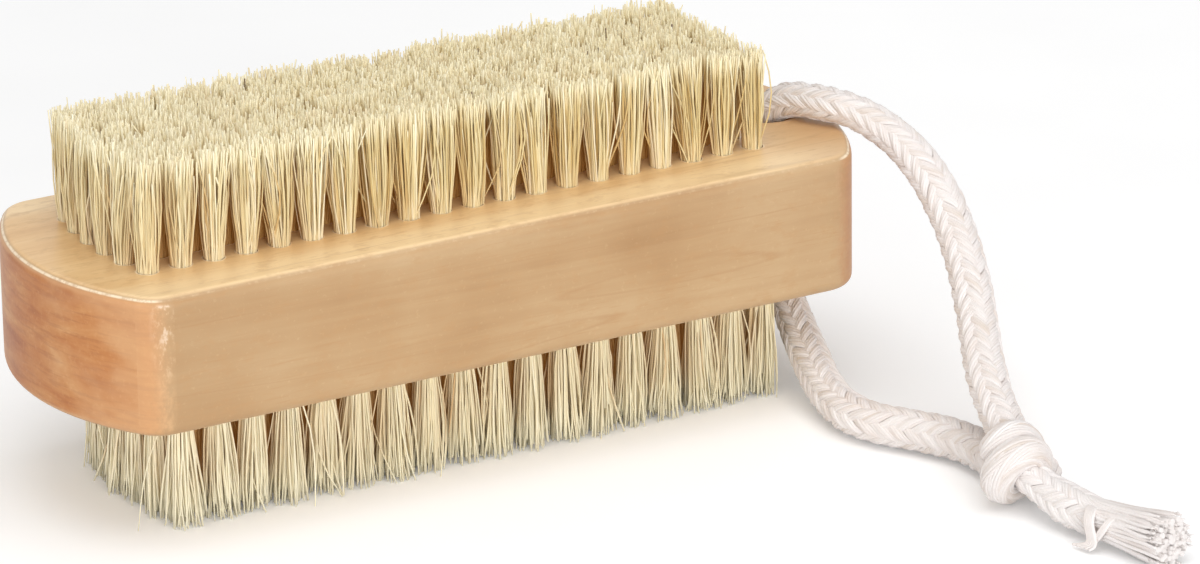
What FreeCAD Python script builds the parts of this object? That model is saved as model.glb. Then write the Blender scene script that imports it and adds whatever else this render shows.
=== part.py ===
"""Double-sided wooden nail brush with a knotted cotton hanging loop.

Sizes are in millimetres. +X runs along the block towards the loop, +Y across it and +Z up.
The origin is under the middle of the block, on the surface that the lower bristles stand on.
"""
import FreeCAD
import Part
import Sketcher

import math
import os

# Driving dimensions
DIMENSIONS = (
    # Wooden block
    ("block_length", 100.0),
    ("block_width", 37.0),
    ("block_thickness", 16.0),
    ("end_bow", 6.5),
    ("corner_radius", 4.5),
    ("rim_radius", 1.2),
    # Bore for the hanging loop
    ("bore_diameter", 6.0),
    ("bore_end_distance", 6.5),
    ("bore_mouth_radius", 1.6),
    # Fields of tufts: each face has its own columns, and both have the same rows
    ("upper_column_pitch", 4.0),
    ("upper_field_place", -2.0),
    ("lower_column_pitch", 4.35),
    ("lower_field_place", 0.2),
    ("row_pitch", 3.9),
    ("row_bow", 1.1),
    # Blind holes that hold the tufts
    ("hole_diameter", 2.4),
    ("hole_depth", 6.0),
    ("seat_clearance", 0.05),
    # Tufts of bristles
    ("upper_bristle_length", 12.0),
    ("lower_bristle_length", 14.0),
    ("tuft_tip_diameter", 3.6),
    # Flat wire anchors, each over the fold of its tuft
    ("anchor_thickness", 0.35),
    ("anchor_height", 1.8),
    ("anchor_bite", 0.3),
    ("fold_height", 0.9),
    # Hanging loop of cotton cord
    ("cord_diameter", 4.4),
    ("knot_thickness", 7.6),
    ("knot_width", 9.2),
    ("knot_clearance", 0.1),
    ("frayed_end_diameter", 6.0),
    ("frayed_end_length", 8.4),
)

COLUMN_COUNTS = {"upper": 20, "lower": 18}
ROW_COUNT = 6

# The cord's arcs take this share of the shorter run beside each point of its route
ARC_SHARE = 0.45
# A tube's volume may differ from its section times its length by this share
VOLUME_SHARE = 0.01

# Routes of the cord, from the bore's axis across and from the standing surface up
UPPER_LEG_ROUTE = (
    (0.0, 0.0, 25.5),
    (0.0, 0.0, 29.8),
    (1.2, -2.9, 32.9),
    (3.2, -6.6, 33.3),
    (5.6, -10.7, 32.8),
    (7.9, -15.0, 30.7),
    (9.4, -19.5, 27.2),
    (9.7, -24.4, 22.9),
    (8.3, -30.2, 18.6),
    (6.0, -36.0, 14.5),
    (3.5, -41.4, 11.1),
    (1.7, -46.6, 8.6),
    (0.4, -51.2, 6.9),
)
LOWER_LEG_ROUTE = (
    (0.0, 0.0, 18.8),
    (0.0, 0.0, 14.2),
    (0.0, -3.6, 10.4),
    (-0.5, -8.0, 6.8),
    (-1.6, -13.0, 4.3),
    (-3.3, -18.4, 2.9),
    (-4.6, -24.0, 2.4),
    (-4.2, -29.6, 2.3),
    (-2.2, -34.8, 2.3),
    (0.2, -39.8, 2.3),
    (1.3, -45.2, 2.3),
    (0.9, -50.8, 2.4),
)
TAIL_ROUTE = (
    (0.0, -55.4, 4.2),
    (0.5, -58.6, 3.2),
    (1.4, -62.6, 2.5),
    (2.7, -67.0, 2.75),
)
SHORT_TAIL_ROUTE = (
    (2.6, -53.6, 2.9),
    (4.8, -52.9, 2.4),
)
KNOT_PLACE = (-0.4, -53.2, 4.7)

# Expressions that several pieces share
BLOCK_BOTTOM = "sizes.lower_bristle_length"
BLOCK_TOP = "(sizes.lower_bristle_length + sizes.block_thickness)"
BORE_X = "(sizes.block_length / 2 - sizes.bore_end_distance)"
ANCHOR_WIDTH = "(sizes.hole_diameter + 2 * sizes.anchor_bite)"
ANCHOR_BOTTOM = "(sizes.fold_height - sizes.hole_depth)"
SLOT_THICKNESS = "(sizes.anchor_thickness + 2 * sizes.seat_clearance)"
SLOT_HEIGHT = "(sizes.anchor_height + sizes.seat_clearance)"

ORIGIN_POINT = (-1, 1)
ACROSS_AXIS = -1
UP_AXIS = -2


def make_sheet(document):
    """The spreadsheet of driving dimensions."""
    sheet = document.addObject("Spreadsheet::Sheet", "sizes")
    for line, (name, value) in enumerate(DIMENSIONS, start=1):
        sheet.set(f"A{line}", name)
        sheet.set(f"B{line}", str(value))
        sheet.setAlias(f"B{line}", name)
    document.recompute()
    return sheet


def new_body(document, name):
    """An empty body whose label names its file."""
    body = document.addObject("PartDesign::Body", name)
    body.Label = name
    body.AllowCompound = True
    return body


def origin_feature(body, role):
    """One of the body's own base planes or axes."""
    return next(item for item in body.Origin.OriginFeatures if item.Role == role)


def new_sketch(body, name, plane, height=None):
    """A sketch on one of the body's base planes, lifted by an expression where one is given."""
    sketch = body.newObject("Sketcher::SketchObject", name)
    sketch.AttachmentSupport = [(origin_feature(body, plane), "")]
    sketch.MapMode = "FlatFace"
    if height:
        sketch.setExpression("AttachmentOffset.Base.z", height)
    return sketch


def bind(sketch, name, expression, *constraint):
    """Adds a dimension to the sketch and ties it to the spreadsheet."""
    index = sketch.addConstraint(Sketcher.Constraint(*constraint))
    sketch.renameConstraint(index, name)
    sketch.setExpression(f"Constraints.{name}", expression)


def draw_polygon(sketch, points):
    """Straight lines through the points, joined into one closed outline."""
    vectors = [FreeCAD.Vector(x, y, 0) for x, y in points]
    following = vectors[1:] + vectors[:1]
    for start, end in zip(vectors, following):
        sketch.addGeometry(Part.LineSegment(start, end), False)
    count = len(vectors)
    for line in range(count):
        sketch.addConstraint(Sketcher.Constraint("Coincident", line, 2, (line + 1) % count, 1))


def draw_centred_rectangle(sketch, across, along, across_now, along_now):
    """A rectangle centred on the sketch's origin, its two sides tied to expressions."""
    half_x, half_y = across_now / 2, along_now / 2
    draw_polygon(sketch, [(-half_x, -half_y), (half_x, -half_y), (half_x, half_y), (-half_x, half_y)])
    for line, kind in enumerate(("Horizontal", "Vertical", "Horizontal", "Vertical")):
        sketch.addConstraint(Sketcher.Constraint(kind, line))
    sketch.addConstraint(Sketcher.Constraint("Symmetric", 0, 1, 2, 1, *ORIGIN_POINT))
    bind(sketch, "across", across, "DistanceX", 0, 1, 0, 2, across_now)
    bind(sketch, "along", along, "DistanceY", 1, 1, 1, 2, along_now)


def draw_round(sketch, diameter, diameter_now, place=None, place_now=0.0):
    """A circle on the sketch's across axis, at its origin unless a place is given."""
    circle = Part.Circle(FreeCAD.Vector(place_now, 0, 0), FreeCAD.Vector(0, 0, 1), diameter_now / 2)
    sketch.addGeometry(circle, False)
    if place:
        sketch.addConstraint(Sketcher.Constraint("PointOnObject", 0, 3, ACROSS_AXIS))
        bind(sketch, "place", place, "DistanceX", *ORIGIN_POINT, 0, 3, place_now)
    else:
        sketch.addConstraint(Sketcher.Constraint("Coincident", 0, 3, *ORIGIN_POINT))
    bind(sketch, "diameter", diameter, "Diameter", 0, diameter_now)


def add_pad(body, name, sketch, length):
    """A pad of the sketch, its length tied to an expression."""
    pad = body.newObject("PartDesign::Pad", name)
    pad.Profile = sketch
    pad.setExpression("Length", length)
    return pad


def repeat_along_row(body, name, side):
    """Repeats the body's whole shape once for each column of its face's tufts."""
    pattern = body.newObject("PartDesign::LinearPattern", name)
    pattern.TransformMode = "Whole shape"
    pattern.Direction = (origin_feature(body, "X_Axis"), [""])
    pattern.Mode = "Spacing"
    pattern.Occurrences = COLUMN_COUNTS[side]
    pattern.setExpression("Offset", f"sizes.{side}_column_pitch")
    body.Tip = pattern


def place_row(body, row, side):
    """Stands a row's body on its face of the block, with its own +Z along the bristles."""
    middle = (ROW_COUNT - 1) / 2
    steps = row - middle
    bow_share = 1 - (steps / middle) ** 2
    half_columns = (COLUMN_COUNTS[side] - 1) / 2
    if side == "lower":
        body.Placement = FreeCAD.Placement(FreeCAD.Vector(), FreeCAD.Rotation(FreeCAD.Vector(1, 0, 0), 180))
    first_column = f"sizes.{side}_field_place - {half_columns} * sizes.{side}_column_pitch"
    body.setExpression("Placement.Base.x", f"{first_column} - {bow_share} * sizes.row_bow")
    body.setExpression("Placement.Base.y", f"{steps} * sizes.row_pitch")
    body.setExpression("Placement.Base.z", BLOCK_TOP if side == "upper" else BLOCK_BOTTOM)


def make_hole_row(document, sheet, row, side):
    """The tool that drills a row's blind holes and the slits where the anchors bite."""
    body = new_body(document, f"{side}_hole_tool_{row + 1}")
    mouth = new_sketch(body, "hole_outline", "XY_Plane")
    draw_round(mouth, "sizes.hole_diameter", sheet.hole_diameter)
    drilled = add_pad(body, "drilled", mouth, "sizes.hole_depth")
    drilled.Reversed = True
    slit = new_sketch(body, "slit_outline", "XY_Plane", ANCHOR_BOTTOM)
    thickness_now = sheet.anchor_thickness + 2 * sheet.seat_clearance
    width_now = sheet.hole_diameter + 2 * (sheet.anchor_bite + sheet.seat_clearance)
    slit_width = f"{ANCHOR_WIDTH} + 2 * sizes.seat_clearance"
    draw_centred_rectangle(slit, SLOT_THICKNESS, slit_width, thickness_now, width_now)
    add_pad(body, "slit", slit, SLOT_HEIGHT)
    repeat_along_row(body, "columns", side)
    place_row(body, row, side)
    return body


def make_anchor_row(document, sheet, row, side):
    """A row of flat wire anchors, set across the wood's grain."""
    body = new_body(document, f"{side}_anchors_row_{row + 1}")
    outline = new_sketch(body, "wire_outline", "XY_Plane", ANCHOR_BOTTOM)
    thickness_now = sheet.anchor_thickness
    width_now = sheet.hole_diameter + 2 * sheet.anchor_bite
    draw_centred_rectangle(outline, "sizes.anchor_thickness", ANCHOR_WIDTH, thickness_now, width_now)
    add_pad(body, "wire", outline, "sizes.anchor_height")
    repeat_along_row(body, "columns", side)
    place_row(body, row, side)
    return body


def make_tuft_row(document, sheet, row, side):
    """A row of tufts: a straight root in the hole, then a bundle that flares to its trimmed tip."""
    body = new_body(document, f"{side}_tufts_row_{row + 1}")
    length = f"sizes.{side}_bristle_length"
    root_radius = "sizes.hole_diameter / 2 - sizes.seat_clearance"
    root_now = sheet.hole_diameter / 2 - sheet.seat_clearance
    depth_now = sheet.hole_depth
    tip_now = sheet.tuft_tip_diameter / 2
    length_now = getattr(sheet, f"{side}_bristle_length")

    outline = new_sketch(body, "tuft_outline", "XZ_Plane")
    root_corners = [(0, -depth_now), (root_now, -depth_now), (root_now, 0)]
    tip_corners = [(tip_now, length_now), (0, length_now)]
    draw_polygon(outline, root_corners + tip_corners)
    for line, kind in ((0, "Horizontal"), (1, "Vertical"), (3, "Horizontal"), (4, "Vertical")):
        outline.addConstraint(Sketcher.Constraint(kind, line))
    outline.addConstraint(Sketcher.Constraint("PointOnObject", 0, 1, UP_AXIS))
    outline.addConstraint(Sketcher.Constraint("PointOnObject", 1, 2, ACROSS_AXIS))
    bind(outline, "root_radius", root_radius, "DistanceX", *ORIGIN_POINT, 1, 2, root_now)
    bind(outline, "root_depth", "sizes.hole_depth", "DistanceY", 1, 1, 1, 2, depth_now)
    bind(outline, "tip_radius", "sizes.tuft_tip_diameter / 2", "DistanceX", *ORIGIN_POINT, 2, 2, tip_now)
    bind(outline, "length", length, "DistanceY", *ORIGIN_POINT, 2, 2, length_now)
    bundle = body.newObject("PartDesign::Revolution", "bundle")
    bundle.Profile = outline
    bundle.ReferenceAxis = (outline, ["V_Axis"])

    fold = new_sketch(body, "anchor_gap", "XY_Plane", f"{ANCHOR_BOTTOM} + {SLOT_HEIGHT}")
    thickness_now = sheet.anchor_thickness + 2 * sheet.seat_clearance
    width_now = sheet.hole_diameter + 2 * sheet.anchor_bite
    draw_centred_rectangle(fold, SLOT_THICKNESS, ANCHOR_WIDTH, thickness_now, width_now)
    gap = body.newObject("PartDesign::Pocket", "anchor_slot")
    gap.Profile = fold
    gap.setExpression("Length", SLOT_HEIGHT)
    repeat_along_row(body, "columns", side)
    place_row(body, row, side)
    return body


def edges_where(feature, wanted):
    """The names of a feature's edges that pass a test."""
    return [f"Edge{number}" for number, edge in enumerate(feature.Shape.Edges, start=1) if wanted(edge)]


def add_fillet(body, name, base, edges, radius):
    """Rounds the named edges of the last feature."""
    fillet = body.newObject("PartDesign::Fillet", name)
    fillet.Base = (base, edges)
    fillet.setExpression("Radius", radius)
    return fillet


def draw_block_plan(sketch, sheet):
    """Two straight sides and two bowed ends, symmetric about both axes."""
    half_width = sheet.block_width / 2
    corner_x = sheet.block_length / 2 - sheet.end_bow
    bow_radius_now = (half_width**2 + sheet.end_bow**2) / (2 * sheet.end_bow)
    front_left = FreeCAD.Vector(-corner_x, -half_width, 0)
    front_right = FreeCAD.Vector(corner_x, -half_width, 0)
    back_left = FreeCAD.Vector(-corner_x, half_width, 0)
    back_right = FreeCAD.Vector(corner_x, half_width, 0)
    right_apex = FreeCAD.Vector(sheet.block_length / 2, 0, 0)
    left_apex = FreeCAD.Vector(-sheet.block_length / 2, 0, 0)
    sketch.addGeometry(Part.LineSegment(front_left, front_right), False)
    sketch.addGeometry(Part.Arc(front_right, right_apex, back_right), False)
    sketch.addGeometry(Part.LineSegment(back_right, back_left), False)
    sketch.addGeometry(Part.Arc(back_left, left_apex, front_left), False)
    for piece in range(4):
        sketch.addConstraint(Sketcher.Constraint("Coincident", piece, 2, (piece + 1) % 4, 1))
    sketch.addConstraint(Sketcher.Constraint("Symmetric", 0, 1, 0, 2, UP_AXIS))
    sketch.addConstraint(Sketcher.Constraint("Symmetric", 0, 1, 2, 1, *ORIGIN_POINT))
    sketch.addConstraint(Sketcher.Constraint("Symmetric", 0, 2, 2, 2, *ORIGIN_POINT))
    sketch.addConstraint(Sketcher.Constraint("Equal", 1, 3))
    side_length = "sizes.block_length - 2 * sizes.end_bow"
    bind(sketch, "side_length", side_length, "DistanceX", 0, 1, 0, 2, 2 * corner_x)
    bind(sketch, "width", "sizes.block_width", "DistanceY", 0, 2, 2, 1, sheet.block_width)
    bow_radius = "((sizes.block_width / 2) ^ 2 + sizes.end_bow ^ 2) / (2 * sizes.end_bow)"
    bind(sketch, "bow_radius", bow_radius, "Radius", 1, bow_radius_now)


def make_block(document, sheet):
    """The wooden block with its rounded corners and rims and the loop's bore, before it is drilled."""
    body = new_body(document, "undrilled_block")
    plan = new_sketch(body, "block_plan", "XY_Plane")
    draw_block_plan(plan, sheet)
    slab = add_pad(body, "slab", plan, "sizes.block_thickness")
    document.recompute()

    upright = edges_where(slab, lambda edge: abs(edge.tangentAt(edge.FirstParameter).z) > 0.5)
    corners = add_fillet(body, "corners", slab, upright, "sizes.corner_radius")
    document.recompute()

    level = edges_where(corners, lambda edge: edge.BoundBox.ZLength < sheet.rim_radius)
    rims = add_fillet(body, "rims", corners, level, "sizes.rim_radius")
    document.recompute()

    circle = new_sketch(body, "bore_outline", "XY_Plane", "sizes.block_thickness")
    bore_now = sheet.block_length / 2 - sheet.bore_end_distance
    draw_round(circle, "sizes.bore_diameter", sheet.bore_diameter, BORE_X, bore_now)
    bore = body.newObject("PartDesign::Pocket", "bore")
    bore.Profile = circle
    bore.setExpression("Length", "sizes.block_thickness")
    document.recompute()
    if bore.Shape.Volume >= rims.Shape.Volume:
        raise RuntimeError("the bore cut nothing")

    bore_centre = FreeCAD.Vector(bore_now, 0, 0)
    mouth_reach = sheet.bore_diameter / 2 + sheet.bore_mouth_radius

    def is_mouth(edge):
        """True for a level edge round the bore's axis."""
        across = FreeCAD.Vector(edge.CenterOfMass.x, edge.CenterOfMass.y, 0)
        near_axis = (across - bore_centre).Length < mouth_reach
        small = edge.Length < 2 * math.pi * mouth_reach
        return near_axis and small and edge.BoundBox.ZLength < sheet.rim_radius

    add_fillet(body, "bore_mouths", bore, edges_where(bore, is_mouth), "sizes.bore_mouth_radius")
    body.setExpression("Placement.Base.z", BLOCK_BOTTOM)
    document.recompute()
    return body


def drill_block(document, block, tools):
    """The finished block: the rounded block less every hole and slit."""
    bundle = document.addObject("Part::Compound", "hole_tools")
    bundle.Links = tools
    drilled = document.addObject("Part::Cut", "handle_block")
    drilled.Label = "handle_block"
    drilled.Base = block
    drilled.Tool = bundle
    return drilled


def rounded_path(points):
    """Straight runs joined by tangent arcs, as edges, with the arcs' radii."""
    vectors = [FreeCAD.Vector(*point) for point in points]
    edges, radii = [], []
    start = vectors[0]
    for before, corner, after in zip(vectors, vectors[1:], vectors[2:]):
        incoming, outgoing = corner - before, after - corner
        trim = ARC_SHARE * min(incoming.Length, outgoing.Length)
        half_turn = incoming.getAngle(outgoing) / 2
        incoming.normalize()
        outgoing.normalize()
        entry, leave = corner - incoming * trim, corner + outgoing * trim
        radius = trim / math.tan(half_turn)
        inward = outgoing - incoming
        inward.normalize()
        middle = corner + inward * (radius / math.cos(half_turn) - radius)
        edges.append(Part.LineSegment(start, entry).toShape())
        edges.append(Part.Arc(entry, middle, leave).toShape())
        radii.append(radius)
        start = leave
    edges.append(Part.LineSegment(start, vectors[-1]).toShape())
    return edges, radii


def at_bore(item, place, direction=None):
    """Places an object at a point of the cord, with its own +Z along the direction."""
    turn = FreeCAD.Rotation(FreeCAD.Vector(0, 0, 1), direction) if direction else FreeCAD.Rotation()
    item.Placement = FreeCAD.Placement(FreeCAD.Vector(*place), turn)
    item.setExpression("Placement.Base.x", f"{BORE_X} + ({place[0]})")


def make_cord_tube(document, name, route):
    """A stretch of cord as a round tube along its route."""
    edges, radii = rounded_path(route)
    route_wire = document.addObject("Part::Feature", f"{name}_route")
    route_wire.Shape = Part.Wire(edges)
    at_bore(route_wire, (0.0, 0.0, 0.0))
    section = document.addObject("Part::Circle", f"{name}_section")
    section.setExpression("Radius", "sizes.cord_diameter / 2")
    at_bore(section, route[0], FreeCAD.Vector(*route[1]) - FreeCAD.Vector(*route[0]))
    tube = document.addObject("Part::Sweep", name)
    tube.Label = name
    tube.Sections = [section]
    tube.Spine = (route_wire, [f"Edge{number + 1}" for number in range(len(edges))])
    tube.Solid = True
    tube.Frenet = False
    document.recompute()

    length = sum(edge.Length for edge in edges)
    expected = length * math.pi * section.Radius.Value**2
    if abs(tube.Shape.Volume - expected) > VOLUME_SHARE * expected:
        raise RuntimeError(f"{name} has the wrong volume")
    print(name, "length", round(length, 1), "radii", [round(radius, 1) for radius in radii])
    return tube


def make_bore_run(document):
    """The straight stretch of cord inside the bore, from the lower leg to the upper one."""
    run = document.addObject("Part::Cylinder", "cord_bore_run")
    run.Label = "cord_bore_run"
    run.setExpression("Radius", "sizes.cord_diameter / 2")
    run.Height = UPPER_LEG_ROUTE[0][2] - LOWER_LEG_ROUTE[0][2]
    at_bore(run, LOWER_LEG_ROUTE[0])
    return run


def make_knot(document):
    """The knot: a flattened ball with a socket for each stretch of cord that goes into it."""
    ball = document.addObject("Part::Ellipsoid", "knot_ball")
    ball.setExpression("Radius1", "sizes.knot_thickness / 2")
    ball.setExpression("Radius2", "sizes.knot_width / 2")
    ball.setExpression("Radius3", "sizes.knot_width / 2")
    ball.Angle1, ball.Angle2, ball.Angle3 = -90, 90, 360
    at_bore(ball, KNOT_PLACE, FreeCAD.Vector(*TAIL_ROUTE[1]) - FreeCAD.Vector(*TAIL_ROUTE[0]))
    into_knot = (
        (UPPER_LEG_ROUTE[-1], UPPER_LEG_ROUTE[-2]),
        (LOWER_LEG_ROUTE[-1], LOWER_LEG_ROUTE[-2]),
        (TAIL_ROUTE[0], TAIL_ROUTE[1]),
        (SHORT_TAIL_ROUTE[0], SHORT_TAIL_ROUTE[1]),
    )
    sockets = []
    for number, (end, outside) in enumerate(into_knot, start=1):
        socket = document.addObject("Part::Cylinder", f"knot_socket_{number}")
        socket.setExpression("Radius", "sizes.cord_diameter / 2 + sizes.knot_clearance")
        socket.setExpression("Height", "sizes.knot_width")
        at_bore(socket, end, FreeCAD.Vector(*outside) - FreeCAD.Vector(*end))
        sockets.append(socket)
    joined = document.addObject("Part::MultiFuse", "knot_sockets")
    joined.Shapes = sockets
    knot = document.addObject("Part::Cut", "cord_knot")
    knot.Label = "cord_knot"
    knot.Base = ball
    knot.Tool = joined
    return knot


def make_frayed_end(document):
    """The unravelled end of the tail, a cone that opens away from the knot."""
    cone = document.addObject("Part::Cone", "cord_frayed_end")
    cone.Label = "cord_frayed_end"
    cone.setExpression("Radius1", "sizes.cord_diameter / 2")
    cone.setExpression("Radius2", "sizes.frayed_end_diameter / 2")
    cone.setExpression("Height", "sizes.frayed_end_length")
    at_bore(cone, TAIL_ROUTE[-1], FreeCAD.Vector(*TAIL_ROUTE[-1]) - FreeCAD.Vector(*TAIL_ROUTE[-2]))
    return cone


def check(document, nodes):
    """Stops if any object failed or a node's shape isn't sound."""
    for item in document.Objects:
        if "Invalid" in item.State or "Error" in item.State:
            raise RuntimeError(f"{item.Label} failed: {item.State}")
    for node in nodes:
        if node.Shape.isNull() or not node.Shape.isValid() or not node.Shape.Solids:
            raise RuntimeError(f"{node.Label} isn't a sound solid")


def write(nodes):
    """Writes each node to a file of its own."""
    os.makedirs("parts", exist_ok=True)
    for node in nodes:
        node.Shape.exportStep(f"parts/{node.Label}.step")


def main():
    document = FreeCAD.newDocument("nail_brush")
    sheet = make_sheet(document)
    nodes, tools = [], []
    for side in ("upper", "lower"):
        for row in range(ROW_COUNT):
            tools.append(make_hole_row(document, sheet, row, side))
            nodes.append(make_tuft_row(document, sheet, row, side))
            nodes.append(make_anchor_row(document, sheet, row, side))
    block = make_block(document, sheet)
    nodes.append(drill_block(document, block, tools))

    nodes.append(make_bore_run(document))
    nodes.append(make_cord_tube(document, "cord_upper_leg", UPPER_LEG_ROUTE))
    nodes.append(make_cord_tube(document, "cord_lower_leg", LOWER_LEG_ROUTE))
    nodes.append(make_cord_tube(document, "cord_tail", TAIL_ROUTE))
    nodes.append(make_cord_tube(document, "cord_short_tail", SHORT_TAIL_ROUTE))
    nodes.append(make_knot(document))
    nodes.append(make_frayed_end(document))
    document.recompute()
    check(document, nodes)
    write(nodes)
    print("nodes", len(nodes), "solids", sum(len(node.Shape.Solids) for node in nodes))


main()
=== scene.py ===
"""Looks of the double-sided nail brush: its wood, its bristles and its cotton cord.

Lengths are in metres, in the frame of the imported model: +X runs along the block towards the cord's bore,
+Y across the block and +Z up from the surface that the lower bristles stand on.
"""

import math
from types import SimpleNamespace

import bpy
import numpy as np
from mathutils import Matrix, Vector


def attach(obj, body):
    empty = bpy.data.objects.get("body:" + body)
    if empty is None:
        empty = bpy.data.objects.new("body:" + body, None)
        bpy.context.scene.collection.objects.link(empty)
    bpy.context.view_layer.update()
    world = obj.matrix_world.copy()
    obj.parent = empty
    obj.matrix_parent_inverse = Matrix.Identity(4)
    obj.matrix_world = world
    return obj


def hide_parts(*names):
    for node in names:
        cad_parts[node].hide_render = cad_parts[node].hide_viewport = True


MM = 0.001
FULL_TURN = 2 * math.pi

# Fields of tufts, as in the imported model
ROW_COUNT = 6
ROW_PITCH = 0.0039
ROW_BOW = 0.0011
MIDDLE_ROW = (ROW_COUNT - 1) / 2
COLUMN_COUNTS = {"upper": 20, "lower": 18}
COLUMN_PITCHES = {"upper": 0.00400, "lower": 0.00435}
FIELD_PLACES = {"upper": -0.0020, "lower": 0.0002}
HOLE_RADIUS = 0.0012
BLOCK_TOP = 0.0300
BLOCK_BOTTOM = 0.0140
UPPER_TIP = 0.0420

# Bristles
BRISTLES_PER_TUFT = 145
BRISTLE_RADIUS = 0.000099
BRISTLE_SIDES = 5
BRISTLE_RINGS = 7
BRISTLE_LENGTHS = {"upper": UPPER_TIP - BLOCK_TOP, "lower": BLOCK_BOTTOM}
ROOT_DEPTH = 0.0030
ROW_SEEDS = {"upper": 100, "lower": 150}
GOLDEN_ANGLE = 2.399963
ROOT_SCATTER = 0.05
# How far a tuft's tips open, and the shares of it left to tips that point out of the field, in a row's
# first and last tuft and across the outer rows
FLARES = {"upper": 1.98 * MM, "lower": 2.20 * MM}
HELD_FIRST = {"upper": 0.45, "lower": 0.95}
HELD_LAST = 0.45
HELD_ACROSS = {"upper": 0.70, "lower": 1.00}
FLARE_SCATTER = 0.09
FLARE_POWER = 1.1
TUFT_LEAN = 0.24 * MM
TIP_SCATTER = 0.24 * MM
STRAY_SHARE = 0.035
STRAY_TIP = 1.25 * MM
STRAY_BOW = 0.8 * MM
BRISTLE_BOW = 0.24 * MM
BRISTLE_WAVE = 0.07 * MM
SPREAD_POWERS = (0.95, 1.35)
BRISTLE_TAPER = (1.06, 0.84)
THICKNESS_SCATTER = 0.20
# How unevenly the bristles are trimmed
TRIM_ALLOWANCE = 0.10 * MM
TRIM_SCATTERS = {"upper": 0.36 * MM, "lower": 0.60 * MM}
TUFT_TRIM_SCATTER = 0.14 * MM
SHORT_SHARES = {"upper": 0.12, "lower": 0.18}
SHORT_BY = (0.4 * MM, 2.8 * MM)
FLOOR_ALLOWANCE = 0.03 * MM
# The upper bristles are trimmed a little longer towards the end without the bore
UPPER_TRIM_SLOPE = 0.013
# The lower bristles are painted paler as painted light, and so are both fields towards the end without the
# bore
PAINTED_LIGHT_BY_FIELD = {"upper": 0.0, "lower": 1.0}
PAINTED_LIGHT_TOWARDS_END = 0.32
PALER_FROM = 10 * MM
PALER_RUN = 25 * MM
TONE_SCATTER = 0.24
TUFT_TONE_SCATTER = 0.07
DARK_SHARE = 0.0014
# The depth from which a bristle gets the painted warm light of the inner field, and over which it takes it
# on
INSIDE_FROM = 0.2 * MM
INSIDE_RUN = 2.4 * MM

# Routes of the cord's two legs and its two ends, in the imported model's frame
UPPER_ROUTE = (
    (0.0435, 0.0000, 0.0188),
    (0.0435, 0.0000, 0.0255),
    (0.0435, 0.0000, 0.0298),
    (0.0447, -0.0029, 0.0322),
    (0.0467, -0.0066, 0.0324),
    (0.0491, -0.0107, 0.0321),
    (0.0514, -0.0150, 0.0302),
    (0.0529, -0.0195, 0.0272),
    (0.0532, -0.0244, 0.0229),
    (0.0518, -0.0302, 0.0186),
    (0.0494, -0.0360, 0.0145),
    (0.0468, -0.0414, 0.0111),
    (0.0451, -0.0466, 0.0086),
    (0.0439, -0.0512, 0.0069),
)
LOWER_ROUTE = (
    (0.0435, 0.0000, 0.0188),
    (0.0435, 0.0000, 0.0142),
    (0.0433, -0.0036, 0.0104),
    (0.0427, -0.0080, 0.0068),
    (0.0416, -0.0130, 0.0043),
    (0.0400, -0.0184, 0.0029),
    (0.0387, -0.0245, 0.0025),
    (0.0393, -0.0296, 0.0025),
    (0.0420, -0.0337, 0.0025),
    (0.0446, -0.0382, 0.0025),
    (0.0456, -0.0438, 0.0025),
    (0.0446, -0.0504, 0.0028),
)
TAIL_ROUTE = (
    (0.0433, -0.0540, 0.0046),
    (0.0438, -0.0586, 0.0034),
    (0.0445, -0.0630, 0.0027),
    (0.0455, -0.0682, 0.0027),
    (0.0479, -0.0773, 0.0031),
)
SHORT_TAIL_ROUTE = (
    (0.0446, -0.0540, 0.0036),
    (0.0464, -0.0534, 0.0029),
    (0.0484, -0.0528, 0.0025),
)

# Braid of the cord: eight strands of four yarns each way, round a plain core
STRANDS_EACH_WAY = 8
YARNS_PER_STRAND = 4
BRAID_LEAD = 0.0160
BRAID_RADIUS = 0.00194
BRAID_WAVE = 0.00018
YARN_RADIUS = 0.000230
YARN_SPACING = 0.00027
STRAND_CROWN = 0.000060
YARN_SIDES = 8
CORE_SIDES = 12
CORE_TONE = 0.1
LEG_CORE_GAP = 0.08 * MM
LEG_STEP = 0.45 * MM
FINE_STEP = 0.3 * MM
FLOOR_GAP = 0.02 * MM
SEEDS = {"upper_cord": 1, "lower_cord": 2, "knot": 3, "tail": 4, "short_tail": 6, "tail_ends": 41}
# Slow wander along a braid: its wave lengths and its sizes, of which a strand's is an angle
DRIFT_LENGTHS = (0.023, 0.0117, 0.0063)
SWELLING = 0.03 * MM
STRAND_WANDER = 0.03
YARN_WANDER = 0.015 * MM
# How much the bore squeezes each leg: lengths from the leg's start, with shares of the braid's radius
UPPER_SQUEEZE = ((0.000, 0.024, 0.034), (0.84, 0.84, 1.0))
LOWER_SQUEEZE = ((0.000, 0.010, 0.018), (0.84, 0.84, 1.0))

# Knot: a loop of the cord round its tail, with its angles in degrees
KNOT_PLACE = (0.0431, -0.0532, 0.0047)
KNOT_AXIS = (0.147, -0.944, -0.295)
KNOT_FIRST_ANGLE = -70
KNOT_SWEEP = 500
KNOT_RING = 2.95 * MM
KNOT_TUCK = 1.6 * MM
KNOT_BACK = -2.1 * MM
KNOT_ADVANCE = 4.1 * MM
KNOT_LEAD = 0.052
KNOT_RADIUS = 1.80 * MM
KNOT_WAVE = 0.07 * MM
KNOT_TIGHTNESS = 1.10
KNOT_FLATTENING = 0.18
KNOT_CORE = 1.42 * MM

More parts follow.
